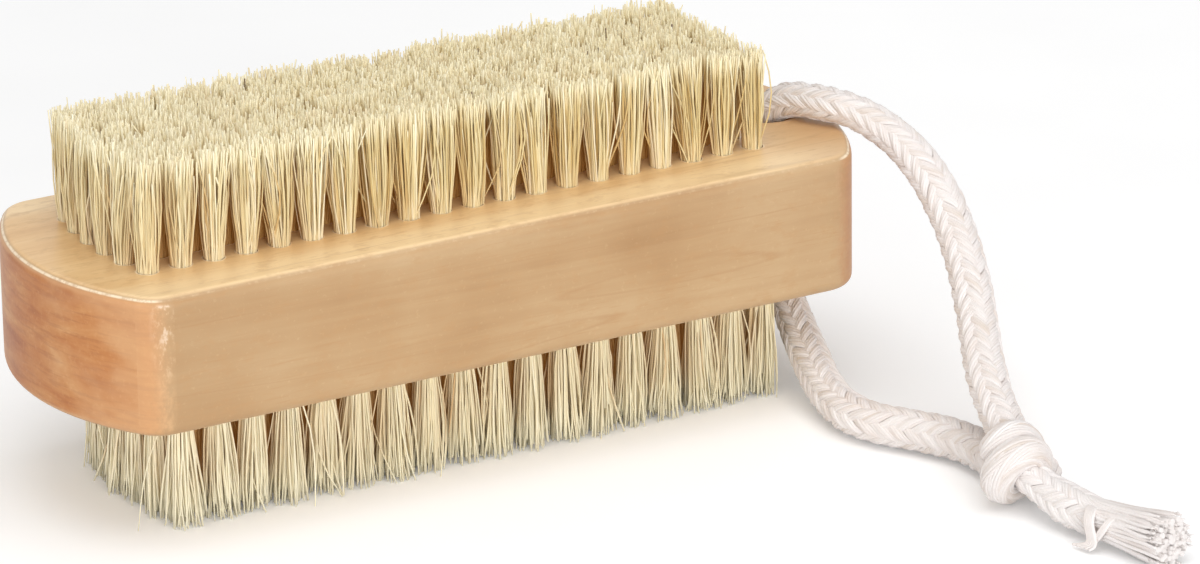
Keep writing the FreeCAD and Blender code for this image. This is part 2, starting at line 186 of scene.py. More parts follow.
# Tail: braided at first, then loose yarns that spread to an open end
LOOSE_FROM = 11.0 * MM
UNWIND_RUN = 1.6 * MM
WAVE_RUN = 1.2 * MM
TAIL_SQUEEZE = ((0, 4.5 * MM, 8 * MM), (0.80, 0.84, 0.98))
OPEN_END = 1.15 * MM
OPEN_POWER = 1.6
FALL_INWARD = 0.9 * MM
YARN_SWAY = 0.22 * MM
YARN_RAGGED = 0.055
TAIL_PALER = 0.35
TAIL_CORE_GAP = 0.10 * MM
TAIL_CORE_FADE = (12 * MM, 14.5 * MM)
PACKED_COUNT = 170
PACKED_FROM = 10.5 * MM
PACKED_SPREAD = 0.70
PACKED_RAGGED = 0.12
PACKED_RADIUS = 1.3 * YARN_RADIUS
PACKED_SIDES = 6
WISP_COUNT = 260
WISP_RINGS = 4
WISP_SIDES = 3
WISP_RADII = (0.065 * MM, 0.03 * MM)
WISP_REACH = (0.3 * MM, 0.9 * MM)
WISP_SPREAD = 0.35
WISP_BEND = 0.12 * MM
LOOSE_STRANDS_AT = 12.2 * MM
# Loose strands of the tail, in millimetres along the tail, up and out from its middle
LOOSE_STRAND = (
    (0.7, 1.50, 0.6),
    (1.2, 1.70, 1.7),
    (1.8, 0.60, 2.7),
    (2.4, -0.60, 2.85),
    (2.6, -1.50, 2.8),
    (2.2, -2.10, 3.0),
    (1.5, -2.20, 3.5),
)
TUCKED_STRAND = (
    (4.4, 1.60, 0.9),
    (4.3, 1.20, 2.1),
    (3.6, -0.20, 2.6),
    (3.0, -1.10, 2.6),
    (2.6, -1.50, 2.2),
)

# Short tail: a stub with a domed cut
SHORT_TAIL_STEP = 0.25 * MM
SHORT_TAIL_DOME = 1.5 * MM
SHORT_TAIL_RADIUS = 0.92 * BRAID_RADIUS
SHORT_TAIL_CORE = 0.88 * BRAID_RADIUS

# Screen colours of the wood, 0 to 255, with their places on a ramp where they have one
SIDE_TONES = (
    (0.30, (168, 129, 87)),
    (0.46, (183, 147, 105)),
    (0.58, (191, 158, 117)),
    (0.74, (201, 172, 134)),
)
# Painted shade and painted light for the long sides
SIDE_PAINTED_SHADE = (168, 129, 87)
SIDE_PAINTED_LIGHT = (214, 188, 152)
# Grain tones of the upper and lower faces, lighter than the sides' as painted light
TOP_TONES_WITH_PAINTED_LIGHT = (
    (0.30, (210, 164, 110)),
    (0.46, (226, 187, 134)),
    (0.58, (234, 199, 149)),
    (0.74, (243, 213, 170)),
)
# A painted highlight along the faces' long edges, and painted shade round the bore
TOP_EDGE_PAINTED_HIGHLIGHT = (252, 225, 180)
TOP_PAINTED_SHADE_BY_BORE = (196, 150, 104)
DARK_FIBRE = (180, 134, 86)
PALE_SPECK = (236, 210, 172)
MOTTLE = (186, 142, 94)
GROWTH_LINE = (168, 122, 76)
END_TONES = (
    (0.30, (162, 91, 40)),
    (0.46, (184, 116, 60)),
    (0.58, (194, 132, 76)),
    (0.72, (207, 154, 100)),
)
END_LINE = (160, 94, 50)
END_PALE_SPECK = (228, 180, 130)
END_DARK_SPECK = (180, 112, 64)
END_FADED = (220, 177, 131)
# Painted shade on the end with the bore
END_PAINTED_SHADE_BY_BORE = (150, 98, 58)
WORN_CORNER = (232, 196, 150)
WHITE_SCUFF = (240, 224, 202)
# Wear on the ends' upper rims, with a painted highlight
END_RIM_WEAR_AND_HIGHLIGHT = (246, 228, 198)
WORN_SIDE_RIM = (240, 218, 182)
HOLE_EDGE = (246, 226, 194)

# Screen colours of the bristles, the cotton, the steel and the floor
BRISTLE_TONES = (
    (0.00, (205, 174, 112)),
    (0.30, (224, 203, 147)),
    (0.65, (234, 219, 171)),
    (1.00, (246, 237, 207)),
)
BRISTLE_ROOT = (242, 228, 198)
BRISTLE_TIP = (254, 247, 221)
BRISTLE_DARK = (104, 74, 54)
BRISTLE_FLECK = (216, 186, 126)
BRISTLE_PAINTED_LIGHT = (255, 249, 224)
# Painted warm light and a painted glow for the bristles inside the field
BRISTLE_PAINTED_WARM_LIGHT = (196, 144, 68)
BRISTLE_PAINTED_GLOW = (176, 116, 36)
COTTON_TONES = ((0.10, (212, 198, 186)), (0.40, (227, 219, 215)), (0.75, (235, 230, 228)))
COTTON_NAP = (216, 202, 190)
STEEL_TONES = ((0.3, (150, 150, 150)), (0.7, (186, 185, 182)))
FLOOR_TONES = ((0.2, (247, 247, 247)), (0.8, (250, 250, 250)))
WHITE = (1, 1, 1, 1)

# Camera: angles in degrees, and its place from the block's middle to the right, up and back
CAMERA_AZIMUTH = -29.557
CAMERA_ELEVATION = 20.561
CAMERA_ROLL = -0.849
CAMERA_PLACE = (0.01879, -0.00403, 0.78312)
CAMERA_LENS = 210
CAMERA_SENSOR = 36

# Stage: each lamp's name, place, size and power, and the surround's strength as light and as seen
FLOOR_HALF = 3.0
FLOOR_HEIGHT = -0.00002
FLOOR_GLOW = 0.14
LAMP_AIM = (0, 0, 0.02)
LAMPS = (
    ("overhead", (-0.05, -0.30, 1.00), 0.9, 5.2),
    ("low_front", (-0.16, -0.96, 0.12), 0.5, 5.4),
    ("low_left", (-0.95, -0.30, 0.14), 0.5, 2.0),
)
SURROUND_LIGHT = 0.50
SURROUND_SEEN = 1.0


def linear(red, green, blue):
    """A screen colour, 0 to 255, as the linear colour that shaders take."""
    parts = []
    for value in (red, green, blue):
        value = value / 255
        parts.append(value / 12.92 if value <= 0.04045 else ((value + 0.055) / 1.055) ** 2.4)
    return (*parts, 1.0)


class Nodes:
    """Short calls to build one material's node tree."""

    def __init__(self, name):
        self.material = bpy.data.materials.new(name)
        self.material.use_nodes = True
        self.tree = self.material.node_tree
        self.tree.nodes.clear()
        self.shader = self.tree.nodes.new("ShaderNodeBsdfPrincipled")
        output = self.tree.nodes.new("ShaderNodeOutputMaterial")
        self.tree.links.new(self.shader.outputs[0], output.inputs[0])

    def put(self, socket, value):
        """Links an output to a socket, or sets the socket to a plain value."""
        if isinstance(value, bpy.types.NodeSocket):
            self.tree.links.new(value, socket)
        else:
            socket.default_value = value

    def set(self, **values):
        """Sets inputs of the main shader by name, with _ for spaces."""
        for name, value in values.items():
            self.put(self.shader.inputs[name.replace("_", " ")], value)

    def coordinates(self, output):
        return self.tree.nodes.new("ShaderNodeTexCoord").outputs[output]

    def split(self, vector):
        """The vector's three parts."""
        node = self.tree.nodes.new("ShaderNodeSeparateXYZ")
        self.put(node.inputs[0], vector)
        return tuple(node.outputs)

    def stretched(self, vector, scale):
        """The coordinates times a scale for each axis."""
        node = self.tree.nodes.new("ShaderNodeMapping")
        node.inputs["Scale"].default_value = scale
        self.put(node.inputs["Vector"], vector)
        return node.outputs[0]

    def noise(self, vector, scale, detail=2.0, roughness=0.5, distortion=0.0):
        """Noise at one scale, or at a scale for each axis."""
        if isinstance(scale, tuple):
            vector = self.stretched(vector, scale)
            scale = 1.0
        node = self.tree.nodes.new("ShaderNodeTexNoise")
        self.put(node.inputs["Vector"], vector)
        node.inputs["Scale"].default_value = scale
        node.inputs["Detail"].default_value = detail
        node.inputs["Roughness"].default_value = roughness
        node.inputs["Distortion"].default_value = distortion
        return node.outputs["Fac"]

    def math(self, operation, first, second=0.0, third=0.0):
        node = self.tree.nodes.new("ShaderNodeMath")
        node.operation = operation
        for socket, value in zip(node.inputs, (first, second, third)):
            self.put(socket, value)
        return node.outputs[0]

    def times(self, first, *others):
        """The product of the values."""
        for other in others:
            first = self.math("MULTIPLY", first, other)
        return first

    def scaled(self, value, factor, offset):
        """The value times a factor, plus an offset."""
        return self.math("MULTIPLY_ADD", value, factor, offset)

    def ramp(self, value, low, high, start=0.0, end=1.0):
        """The value taken smoothly from start at low to end at high, and held beyond them."""
        node = self.tree.nodes.new("ShaderNodeMapRange")
        node.interpolation_type = "SMOOTHSTEP"
        for socket, number in zip(node.inputs, (value, low, high, start, end)):
            self.put(socket, number)
        return node.outputs[0]

    def colours(self, value, stops):
        """A colour ramp through (place, screen colour) stops."""
        node = self.tree.nodes.new("ShaderNodeValToRGB")
        elements = node.color_ramp.elements
        while len(elements) < len(stops):
            elements.new(0.5)
        for element, (place, colour) in zip(elements, stops):
            element.position = place
            element.color = linear(*colour)
        self.put(node.inputs[0], value)
        return node.outputs[0]

    def mix(self, share, first, second):
        """One colour laid over another by a share."""
        node = self.tree.nodes.new("ShaderNodeMix")
        node.data_type = "RGBA"
        self.put(node.inputs[0], share)
        self.put(node.inputs[6], first)
        self.put(node.inputs[7], second)
        return node.outputs[2]

    def tint(self, share, colour, screen_colour):
        """A screen colour laid over a colour by a share."""
        return self.mix(share, colour, linear(*screen_colour))

    def attribute(self, name):
        node = self.tree.nodes.new("ShaderNodeAttribute")
        node.attribute_name = name
        return node.outputs["Fac"]

    def bump(self, height, strength, distance):
        node = self.tree.nodes.new("ShaderNodeBump")
        node.inputs["Strength"].default_value = strength
        node.inputs["Distance"].default_value = distance
        self.put(node.inputs["Height"], height)
        self.put(self.shader.inputs["Normal"], node.outputs[0])


def held_between(nodes, value, last):
    """The value rounded to a whole number from 0 to last."""
    rounded = nodes.math("ROUND", value)
    return nodes.math("MAXIMUM", nodes.math("MINIMUM", rounded, last), 0)


def hole_distance(nodes, x, y, side):
    """How far a point of the upper or lower face is from the nearest tuft's middle, in metres."""
    count = COLUMN_COUNTS[side]
    pitch = COLUMN_PITCHES[side]
    row_place = nodes.scaled(y, 1 / ROW_PITCH, MIDDLE_ROW)
    row = held_between(nodes, row_place, ROW_COUNT - 1)
    across = nodes.times(nodes.math("SUBTRACT", row_place, row), ROW_PITCH)
    steps = nodes.scaled(row, 1 / MIDDLE_ROW, -1)
    bow = nodes.scaled(nodes.times(steps, steps), -ROW_BOW, ROW_BOW)
    first_x = FIELD_PLACES[side] - (count - 1) / 2 * pitch
    shifted = nodes.math("ADD", nodes.math("SUBTRACT", x, first_x), bow)
    column_place = nodes.math("DIVIDE", shifted, pitch)
    column = held_between(nodes, column_place, count - 1)
    along = nodes.times(nodes.math("SUBTRACT", column_place, column), pitch)
    return nodes.math("SQRT", nodes.scaled(along, along, nodes.times(across, across)))


def wood_patterns(nodes):
    """The places, facings and noises that the wood's colours share."""
    place = nodes.coordinates("Object")
    x, y, z = nodes.split(place)
    facing_x, _, facing_z = nodes.split(nodes.coordinates("Normal"))
    return SimpleNamespace(
        place=place,
        x=x,
        y=y,
        z=z,
        facing_up=facing_z,
        to_end=nodes.math("ABSOLUTE", facing_x),
        level=nodes.math("ABSOLUTE", facing_z),
        fibre=nodes.noise(place, (190, 4200, 4200), 3.0, 0.6),
        cloud=nodes.noise(place, 55, 3.0, 0.5),
        speck=nodes.noise(place, 1900, 2.0, 0.6),
        scuff=nodes.noise(place, (1500, 1500, 900), 4.0, 0.65),
    )


def face_colour(nodes, wood):
    """Lengthwise grain: darker on the long sides, brighter on the upper and lower face, partly as painted
    light.
    """
    streak = nodes.noise(wood.place, (16, 330, 330), 4.0, 0.6, 0.5)
    tone = nodes.scaled(streak, 0.45, nodes.times(wood.cloud, 0.55))
    # The sides have painted shade towards the end without the bore and painted light towards the other
    side = nodes.colours(tone, SIDE_TONES)
    side = nodes.tint(nodes.ramp(wood.x, -15 * MM, -42 * MM, 0.0, 0.38), side, SIDE_PAINTED_SHADE)
    side = nodes.tint(nodes.ramp(wood.x, 15 * MM, 42 * MM, 0.0, 0.20), side, SIDE_PAINTED_LIGHT)
    # The faces have a painted highlight along their long edges and painted shade round the bore
    # The upper and lower faces take lighter tones than the sides, partly as painted light
    top = nodes.colours(tone, TOP_TONES_WITH_PAINTED_LIGHT)
    off_middle = nodes.math("ABSOLUTE", wood.y)
    top = nodes.tint(nodes.ramp(off_middle, 11.5 * MM, 15.5 * MM, 0.0, 0.55), top, TOP_EDGE_PAINTED_HIGHLIGHT)
    top = nodes.tint(nodes.ramp(wood.x, 36 * MM, 45 * MM, 0.0, 0.50), top, TOP_PAINTED_SHADE_BY_BORE)

    face = nodes.mix(nodes.ramp(wood.level, 0.75, 0.97), side, top)
    face = nodes.tint(nodes.ramp(wood.fibre, 0.54, 0.78, 0.0, 0.36), face, DARK_FIBRE)
    face = nodes.tint(nodes.ramp(wood.speck, 0.58, 0.78, 0.0, 0.10), face, PALE_SPECK)
    mottle = nodes.noise(wood.place, (480, 950, 950), 3.0, 0.65)
    face = nodes.tint(nodes.ramp(mottle, 0.50, 0.70, 0.0, 0.26), face, MOTTLE)
    # Thin growth lines run along the grain, where a slow noise passes its middle value
    growth = nodes.noise(wood.place, (9, 150, 190), 1.0, 0.5)
    off_line = nodes.math("ABSOLUTE", nodes.math("SUBTRACT", growth, 0.5))
    strength = nodes.ramp(wood.cloud, 0.36, 0.60, 0.05, 0.22)
    return nodes.tint(nodes.times(nodes.ramp(off_line, 0.012, 0.0), strength), face, GROWTH_LINE)


def end_colour(nodes, wood):
    """Redder end grain, in patches and fine lines."""
    patch = nodes.noise(wood.place, (1, 75, 260), 4.0, 0.60, 0.4)
    lines = nodes.noise(wood.place, (1, 150, 1500), 4.0, 0.65)
    end = nodes.colours(patch, END_TONES)
    end = nodes.tint(nodes.ramp(lines, 0.52, 0.36, 0.0, 0.42), end, END_LINE)
    end = nodes.tint(nodes.ramp(wood.speck, 0.50, 0.80, 0.0, 0.16), end, END_PALE_SPECK)
    end = nodes.tint(nodes.ramp(wood.speck, 0.50, 0.26, 0.0, 0.16), end, END_DARK_SPECK)
    # It fades unevenly towards the corners and has painted shade at the end with the bore
    wander = nodes.noise(wood.place, (60, 110, 190), 3.0, 0.6)
    fading = nodes.scaled(wander, 0.36, nodes.math("SUBTRACT", wood.to_end, 0.18))
    end = nodes.tint(nodes.ramp(fading, 1.00, 0.83, 0.0, 0.48), end, END_FADED)
    return nodes.tint(nodes.ramp(wood.x, 20 * MM, 47 * MM, 0.0, 0.34), end, END_PAINTED_SHADE_BY_BORE)


def worn_edges(nodes, wood, colour):
    """The colour with scuffs at the upright corners, mostly away from the bore, and a worn upper rim with
    a painted highlight along the ends.
    """
    corner = nodes.times(nodes.ramp(wood.to_end, 0.02, 0.18), nodes.ramp(wood.to_end, 0.64, 0.20))
    upright = nodes.ramp(wood.level, 0.55, 0.25)
    off_bore = nodes.ramp(wood.x, 20 * MM, -20 * MM, 0.15, 1.0)
    corner = nodes.times(corner, upright, off_bore)
    worn_corner = nodes.times(corner, nodes.ramp(wood.scuff, 0.36, 0.68, 0.06, 0.22))
    colour = nodes.tint(worn_corner, colour, WORN_CORNER)
    high = nodes.times(nodes.ramp(wood.z, 19 * MM, 27 * MM), corner)
    white_scuff = nodes.times(high, nodes.ramp(wood.scuff, 0.48, 0.64, 0.0, 0.50))
    colour = nodes.tint(white_scuff, colour, WHITE_SCUFF)

    rim = nodes.times(nodes.ramp(wood.facing_up, 0.58, 0.70), nodes.ramp(wood.level, 0.86, 0.76))
    # The ends' upper rims get wear and a painted highlight
    end_rim = nodes.times(rim, nodes.ramp(wood.to_end, 0.12, 0.40))
    end_rim_wear_and_highlight = nodes.times(end_rim, nodes.ramp(wood.scuff, 0.36, 0.56, 0.45, 0.90))
    colour = nodes.tint(end_rim_wear_and_highlight, colour, END_RIM_WEAR_AND_HIGHLIGHT)
    worn_side_rim = nodes.times(rim, nodes.ramp(wood.scuff, 0.46, 0.70, 0.06, 0.26))
    return nodes.tint(worn_side_rim, colour, WORN_SIDE_RIM)


def hole_edges(nodes, wood, colour):
    """The colour with light, uneven edges round the tufts' holes."""
    upper = hole_distance(nodes, wood.x, wood.y, "upper")
    lower = hole_distance(nodes, wood.x, wood.y, "lower")
    faces_up = nodes.math("GREATER_THAN", wood.facing_up, 0.0)
    distance = nodes.scaled(faces_up, nodes.math("SUBTRACT", upper, lower), lower)
    wobble = nodes.scaled(nodes.noise(wood.place, 1300), 0.42 * MM, -0.21 * MM)
    edge = nodes.ramp(nodes.math("ADD", distance, wobble), 1.42 * MM, 1.24 * MM)
    on_face = nodes.ramp(wood.level, 0.80, 0.95)
    uneven = nodes.ramp(wood.cloud, 0.38, 0.56, 0.15, 0.85)
    return nodes.tint(nodes.times(edge, on_face, uneven), colour, HOLE_EDGE)


def wood_material():
    """Pale lacquered hardwood: lengthwise grain, redder end grain, worn rims and light hole edges, with
    painted light, shade and highlights.
    """
    nodes = Nodes("pale_lacquered_wood")
    wood = wood_patterns(nodes)
    ragged_end = nodes.scaled(wood.scuff, 0.6, nodes.math("SUBTRACT", wood.to_end, 0.3))
    end_share = nodes.times(nodes.ramp(ragged_end, 0.00, 0.66), nodes.ramp(wood.level, 0.90, 0.45))
    colour = nodes.mix(end_share, face_colour(nodes, wood), end_colour(nodes, wood))
    colour = worn_edges(nodes, wood, colour)
    nodes.set(Base_Color=hole_edges(nodes, wood, colour))
    nodes.set(Roughness=nodes.scaled(end_share, 0.06, nodes.scaled(wood.fibre, 0.16, 0.30)))
    nodes.set(Specular_IOR_Level=0.40, Coat_Weight=0.10, Coat_Roughness=0.26, Coat_IOR=1.48)
    nodes.bump(nodes.scaled(wood.fibre, 0.7, nodes.times(wood.speck, 0.3)), 0.16, 0.06 * MM)
    return nodes.material


def bristle_material():
    """Natural plant bristle: straw coloured, paler at its trimmed tip, with a few dark fibres, painted
    light and a painted warm glow inside the field.
    """
    nodes = Nodes("natural_bristle")
    along = nodes.attribute("along")
    body = nodes.colours(nodes.attribute("tone"), BRISTLE_TONES)
    root = nodes.tint(nodes.ramp(along, 0.46, 0.22, 0.0, 0.26), body, BRISTLE_ROOT)
    tip = nodes.tint(nodes.ramp(along, 0.80, 1.0, 0.0, 0.50), root, BRISTLE_TIP)
    dark = nodes.tint(nodes.ramp(along, 0.80, 0.94), tip, BRISTLE_DARK)
    colour = nodes.mix(nodes.attribute("dark"), tip, dark)
    fleck = nodes.noise(nodes.coordinates("Object"), (5200, 5200, 620))
    colour = nodes.tint(nodes.ramp(fleck, 0.55, 0.80, 0.0, 0.20), colour, BRISTLE_FLECK)
    # Painted light: the lower field and the end without the bore are made paler
    colour = nodes.tint(nodes.times(nodes.attribute("pale"), 0.58), colour, BRISTLE_PAINTED_LIGHT)
    # Inside the field the bristles are painted amber with a faint painted glow, for light that has passed
    # through other bristles
    painted_warm_light = nodes.times(nodes.attribute("inside"), nodes.ramp(along, 0.98, 0.64))
    colour = nodes.tint(nodes.times(painted_warm_light, 0.80), colour, BRISTLE_PAINTED_WARM_LIGHT)
    nodes.set(Base_Color=colour)
    nodes.set(Emission_Color=linear(*BRISTLE_PAINTED_GLOW), Emission_Strength=nodes.times(painted_warm_light, 0.07))
    nodes.set(Roughness=nodes.scaled(fleck, 0.25, 0.36), Specular_IOR_Level=0.35)
    return nodes.material


def cotton_material():
    """Undyed cotton yarn: off-white, a little warmer in some yarns, with a fibrous nap."""
    nodes = Nodes("undyed_cotton")
    place = nodes.coordinates("Object")
    nap = nodes.noise(place, 5200, 3.0, 0.65)
    cloud = nodes.noise(place, 420)
    shade = nodes.scaled(nodes.attribute("tone"), 0.6, nodes.times(cloud, 0.4))
    colour = nodes.colours(shade, COTTON_TONES)
    nodes.set(Base_Color=nodes.tint(nodes.ramp(nap, 0.50, 0.30, 0.0, 0.25), colour, COTTON_NAP))
    nodes.set(Roughness=nodes.scaled(nap, 0.15, 0.78))
    nodes.set(Specular_IOR_Level=0.2, Sheen_Weight=0.12, Sheen_Roughness=0.6)
    nodes.bump(nap, 0.35, 0.08 * MM)
    return nodes.material


def steel_material():
    """Flat drawn steel wire with fine lengthwise draw marks."""
    nodes = Nodes("drawn_steel_wire")
    marks = nodes.noise(nodes.coordinates("Object"), (9000, 300, 9000), 3.0)
    nodes.set(Base_Color=nodes.colours(marks, STEEL_TONES))
    nodes.set(Roughness=nodes.scaled(marks, 0.2, 0.28), Metallic=1.0)
    nodes.bump(marks, 0.1, 0.02 * MM)
    return nodes.material


def floor_material():
    """A plain white studio floor."""
    nodes = Nodes("studio_floor")
    grain = nodes.noise(nodes.coordinates("Object"), 40)
    nodes.set(Base_Color=nodes.colours(grain, FLOOR_TONES), Roughness=0.9, Specular_IOR_Level=0.0)
    rays = nodes.tree.nodes.new("ShaderNodeLightPath")
    glow = nodes.times(rays.outputs["Is Camera Ray"], FLOOR_GLOW)
    nodes.set(Emission_Color=WHITE, Emission_Strength=glow)
    return nodes.material


def add_object(name, data):
    """A new object in the scene."""
    item = bpy.data.objects.new(name, data)
    bpy.context.scene.collection.objects.link(item)
    return item


def unit(vectors):
    """The vectors at length one."""
    return vectors / np.linalg.norm(vectors, axis=-1, keepdims=True)


def tube_mesh(name, paths, radii, sides, outward, values):
    """One mesh of many closed tubes.

    paths holds each tube's points, radii the radius at each point, and outward a direction at each point
    that the tube's first side faces. values holds a number for each tube by attribute name.
    """
    count, rings = paths.shape[:2]
    forward = unit(np.gradient(paths, axis=1))
    first = unit(outward - np.sum(outward * forward, axis=-1, keepdims=True) * forward)
    second = np.cross(forward, first)
    angles = np.arange(sides) * FULL_TURN / sides
    across = first[:, :, None] * np.cos(angles)[:, None] + second[:, :, None] * np.sin(angles)[:, None]
    points = paths[:, :, None] + across * radii[:, :, None, None]

    index = np.arange(count * rings * sides).reshape(count, rings, sides)
    following = np.roll(index, -1, axis=2)
    quads = np.stack([index[:, :-1], following[:, :-1], following[:, 1:], index[:, 1:]], axis=-1)
    quads = quads.reshape(-1, 4)
    caps = np.concatenate([index[:, 0, ::-1], index[:, -1]])

    mesh = bpy.data.meshes.new(name)
    mesh.vertices.add(index.size)
    mesh.vertices.foreach_set("co", points.astype(np.float32).ravel())
    corners = np.concatenate([quads.ravel(), caps.ravel()])
    mesh.loops.add(len(corners))
    mesh.loops.foreach_set("vertex_index", corners.astype(np.int32))
    starts = np.concatenate([np.arange(len(quads)) * 4, quads.size + np.arange(len(caps)) * sides])
    mesh.polygons.add(len(starts))
    mesh.polygons.foreach_set("loop_start", starts.astype(np.int32))
    mesh.update(calc_edges=True)
    smooth = np.concatenate([np.ones(len(quads), bool), np.zeros(len(caps), bool)])
    mesh.polygons.foreach_set("use_smooth", smooth)

    every = {**values, "along": np.broadcast_to(np.linspace(0, 1, rings), (count, rings))}
    for attribute, numbers in every.items():
        numbers = np.asarray(numbers, float)
        if numbers.ndim == 1:
            numbers = np.repeat(numbers[:, None], rings, axis=1)
        spread = np.repeat(numbers[:, :, None], sides, axis=2).astype(np.float32)
        layer = mesh.attributes.new(attribute, "FLOAT", "POINT")
        layer.data.foreach_set("value", spread.ravel())
    mesh.validate()
    return add_object(name, mesh)


def row_places(row, side):
    """The middles of a row's holes, across the face."""
    count = COLUMN_COUNTS[side]
    steps = row - MIDDLE_ROW
    bow = ROW_BOW * (1 - (steps / MIDDLE_ROW) ** 2)
    columns = np.arange(count) - (count - 1) / 2
    x = FIELD_PLACES[side] + columns * COLUMN_PITCHES[side] - bow
    return np.stack([x, np.full(count, steps * ROW_PITCH)], axis=1)


def depth_in_field(row, side, tuft, root):
    """How deep inside the field each bristle stands: 0 at the field's edge and 1 well inside it."""
    middle_tuft = (COLUMN_COUNTS[side] - 1) / 2
    along_row = np.abs((tuft - middle_tuft) * COLUMN_PITCHES[side] + root[:, 0])
    across_rows = np.abs((row - MIDDLE_ROW) * ROW_PITCH + root[:, 1])
    from_end = middle_tuft * COLUMN_PITCHES[side] - along_row
    from_side = MIDDLE_ROW * ROW_PITCH - across_rows
    depth = np.minimum(from_end, from_side) + HOLE_RADIUS
    return np.clip((depth - INSIDE_FROM) / INSIDE_RUN, 0, 1)


def bristle_tips(random, row, side, tuft, direction, share):
    """Where the tips stand from their tufts' middles, and which bristles are stray.

    Each tuft opens and leans in its own way. At the field's edges it is held in towards the outside.
    """
    tufts = COLUMN_COUNTS[side]
    opening = FLARES[side] * random.normal(1.0, FLARE_SCATTER, tufts)[tuft]
    lean = random.normal(0, TUFT_LEAN, (tufts, 2))[tuft]
    spread_out = direction * (share**FLARE_POWER * opening)[:, None]
    spread_out[(tuft == 0) & (spread_out[:, 0] < 0), 0] *= HELD_FIRST[side]
    spread_out[(tuft == tufts - 1) & (spread_out[:, 0] > 0), 0] *= HELD_LAST
    if row in (0, ROW_COUNT - 1):
        points_out = spread_out[:, 1] * (row - MIDDLE_ROW) > 0
        spread_out[points_out, 1] *= HELD_ACROSS[side]
    tip = spread_out + lean
    tip = tip + random.normal(0, TIP_SCATTER, tip.shape)
    stray = random.random(len(tip)) < STRAY_SHARE
    tip[stray] += random.normal(0, STRAY_TIP, (stray.sum(), 2))
    return tip, stray


def bristle_reach(random, side, tuft, x):
    """How far each bristle stands out of the block."""
    total = len(tuft)
    length = BRISTLE_LENGTHS[side]
    reach = length - TRIM_ALLOWANCE + random.normal(0, TRIM_SCATTERS[side], total)
    reach = reach + random.normal(0, TUFT_TRIM_SCATTER, COLUMN_COUNTS[side])[tuft]
    short = random.random(total) < SHORT_SHARES[side]
    reach[short] -= random.uniform(*SHORT_BY, short.sum())
    if side == "upper":
        return reach - UPPER_TRIM_SLOPE * x
    return np.minimum(reach, length - FLOOR_ALLOWANCE)


def bristle_row(row, side, material):
    """The bristles of one row of tufts, from inside their holes to their trimmed tips."""
    random = np.random.default_rng(ROW_SEEDS[side] + row)
    tufts = COLUMN_COUNTS[side]
    total = tufts * BRISTLES_PER_TUFT
    tuft = np.repeat(np.arange(tufts), BRISTLES_PER_TUFT)
    centres = row_places(row, side)[tuft]

    # Places of the bristles in the hole: an even sunflower spread, jittered
    order = np.tile(np.arange(BRISTLES_PER_TUFT), tufts) + 0.5
    share = np.sqrt(order / BRISTLES_PER_TUFT)
    turn = order * GOLDEN_ANGLE + random.uniform(0, FULL_TURN, tufts)[tuft]
    share = np.clip(share + random.normal(0, ROOT_SCATTER, total), 0.02, 1.0)
    direction = np.stack([np.cos(turn), np.sin(turn)], axis=1)
    root = direction * (share * (HOLE_RADIUS - BRISTLE_RADIUS))[:, None]

    tip, stray = bristle_tips(random, row, side, tuft, direction, share)
    reach = bristle_reach(random, side, tuft, centres[:, 0])
    bow_side = random.normal(0, BRISTLE_BOW, (total, 2))
    bow_side[stray] += random.normal(0, STRAY_BOW, (stray.sum(), 2))
    wave_side = random.normal(0, BRISTLE_WAVE, (total, 2))

    # Each bristle's line goes from root to tip with a bow and a slight wave
    steps = np.linspace(0, 1, BRISTLE_RINGS)
    height = -ROOT_DEPTH + steps[None, :] * (reach + ROOT_DEPTH)[:, None]
    above = np.clip(height / BRISTLE_LENGTHS[side], 0, 1)
    spread = above ** random.uniform(*SPREAD_POWERS, total)[:, None]
    across = root[:, None] + (tip - root)[:, None] * spread[:, :, None]
    across = across + bow_side[:, None] * np.sin(np.pi * above)[:, :, None]
    across = across + wave_side[:, None] * np.sin(2 * np.pi * above)[:, :, None]
    paths = np.empty((total, BRISTLE_RINGS, 3))
    paths[:, :, :2] = centres[:, None] + across
    paths[:, :, 2] = BLOCK_TOP + height if side == "upper" else BLOCK_BOTTOM - height

    thickness = BRISTLE_RADIUS * random.normal(1.0, THICKNESS_SCATTER, total).clip(0.55, 1.6)
    radii = thickness[:, None] * np.linspace(*BRISTLE_TAPER, BRISTLE_RINGS)[None, :]
    facing = random.uniform(0, FULL_TURN, total)
    outward = np.stack([np.cos(facing), np.sin(facing), np.zeros(total)], axis=1)
    outward = np.repeat(outward[:, None], BRISTLE_RINGS, axis=1)
    tone = random.normal(0.50, TONE_SCATTER, total) + random.normal(0, TUFT_TONE_SCATTER, tufts)[tuft]
    # Painted light, stronger in the lower field and towards the end without the bore
    near_end = np.clip((-centres[:, 0] - PALER_FROM) / PALER_RUN, 0, 1)
    values = {
        "tone": tone.clip(0, 1),
        "dark": (random.random(total) < DARK_SHARE).astype(float),
        "pale": PAINTED_LIGHT_BY_FIELD[side] + PAINTED_LIGHT_TOWARDS_END * near_end,
        "inside": depth_in_field(row, side, tuft, root),
    }
    piece = tube_mesh(f"{side}_bristles_row_{row + 1}", paths, radii, BRISTLE_SIDES, outward, values)
    piece.data.materials.append(material)
    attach(piece, "brush")
    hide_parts(f"{side}_tufts_row_{row + 1}")


